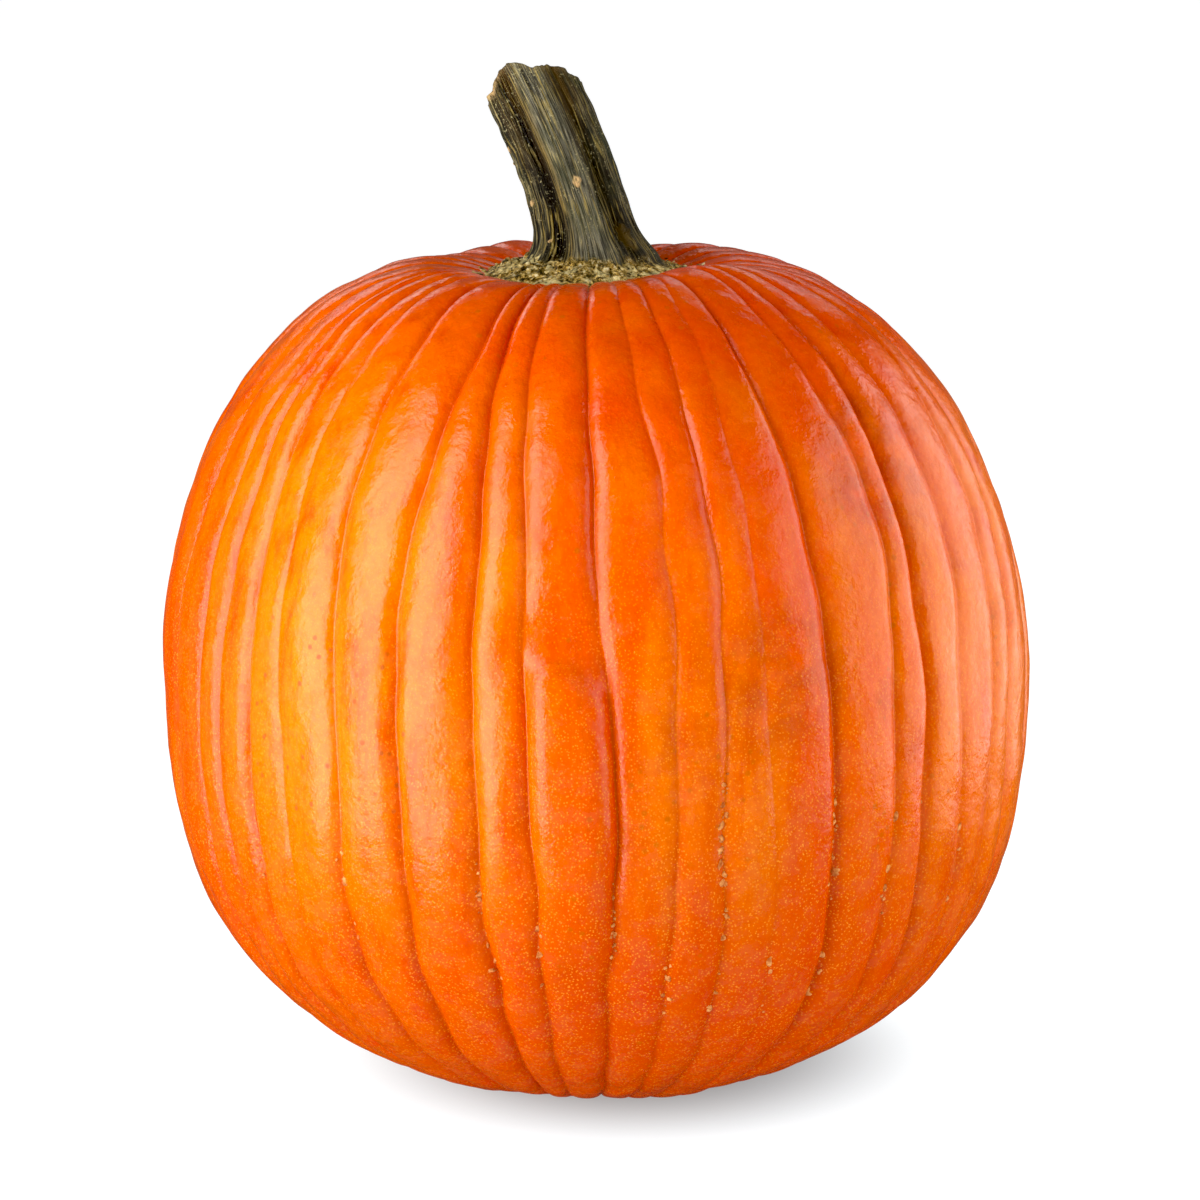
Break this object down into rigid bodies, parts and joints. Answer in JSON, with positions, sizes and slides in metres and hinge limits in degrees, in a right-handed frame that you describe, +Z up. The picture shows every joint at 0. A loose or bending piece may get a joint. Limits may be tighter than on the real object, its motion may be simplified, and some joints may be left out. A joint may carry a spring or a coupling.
{
  "type": "pumpkin",
  "caption": "Ripe orange carving pumpkin with ribs round its tall round fruit and a dry, ridged, bent stem, resting on a small flat spot.",
  "frame": {"origin": "middle of the spot that the pumpkin rests on, under the middle of its outline", "axes": "+Z up through the crown, -Y towards the front that the picture shows, +X to the right seen from the front"},
  "size_m": [0.2995, 0.3017, 0.3496],
  "materials": {
    "rind": "smooth waxy orange rind, half gloss, with fine yellow stipple and small corky scars",
    "stem_bark": "dry fibrous olive and grey-brown stem with tan streaks, matt"
  },
  "bodies": {
    "root": {"fruit": "rind", "stem": "stem_bark"}
  },
  "joints": []
}
